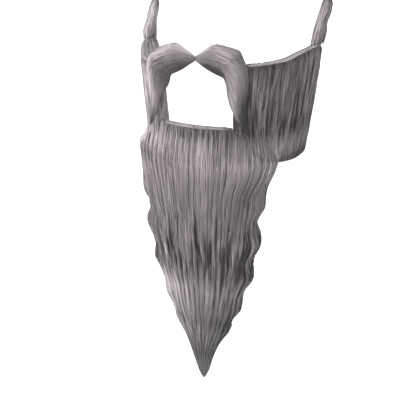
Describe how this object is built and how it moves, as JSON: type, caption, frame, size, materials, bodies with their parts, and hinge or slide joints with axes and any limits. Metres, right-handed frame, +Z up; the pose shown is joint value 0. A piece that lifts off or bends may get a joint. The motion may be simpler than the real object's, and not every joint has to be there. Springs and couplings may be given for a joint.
{
  "type": "long false beard with moustache",
  "caption": "Long wavy false beard with moustache, cheek panels and sideburns, shaped as it sits on a face, open at the mouth.",
  "frame": {"origin": "inner face of the chin wall, in the middle, where the wearer's chin rests", "axes": "+Z up along the face, -Y out of the face towards the viewer, +X towards the wearer's left"},
  "size_m": [0.1646, 0.1147, 0.4834],
  "materials": {
    "beard_hair": "satin grey synthetic hair in wavy locks",
    "cheek_hair": "satin dark grey synthetic hair, brushed down",
    "moustache_hair": "satin light grey synthetic hair, brushed along each horn"
  },
  "bodies": {
    "root": {"chin_beard": "beard_hair", "left_cheek": "cheek_hair", "right_cheek": "cheek_hair", "left_sideburn": "cheek_hair", "right_sideburn": "cheek_hair", "moustache": "moustache_hair"}
  },
  "joints": []
}
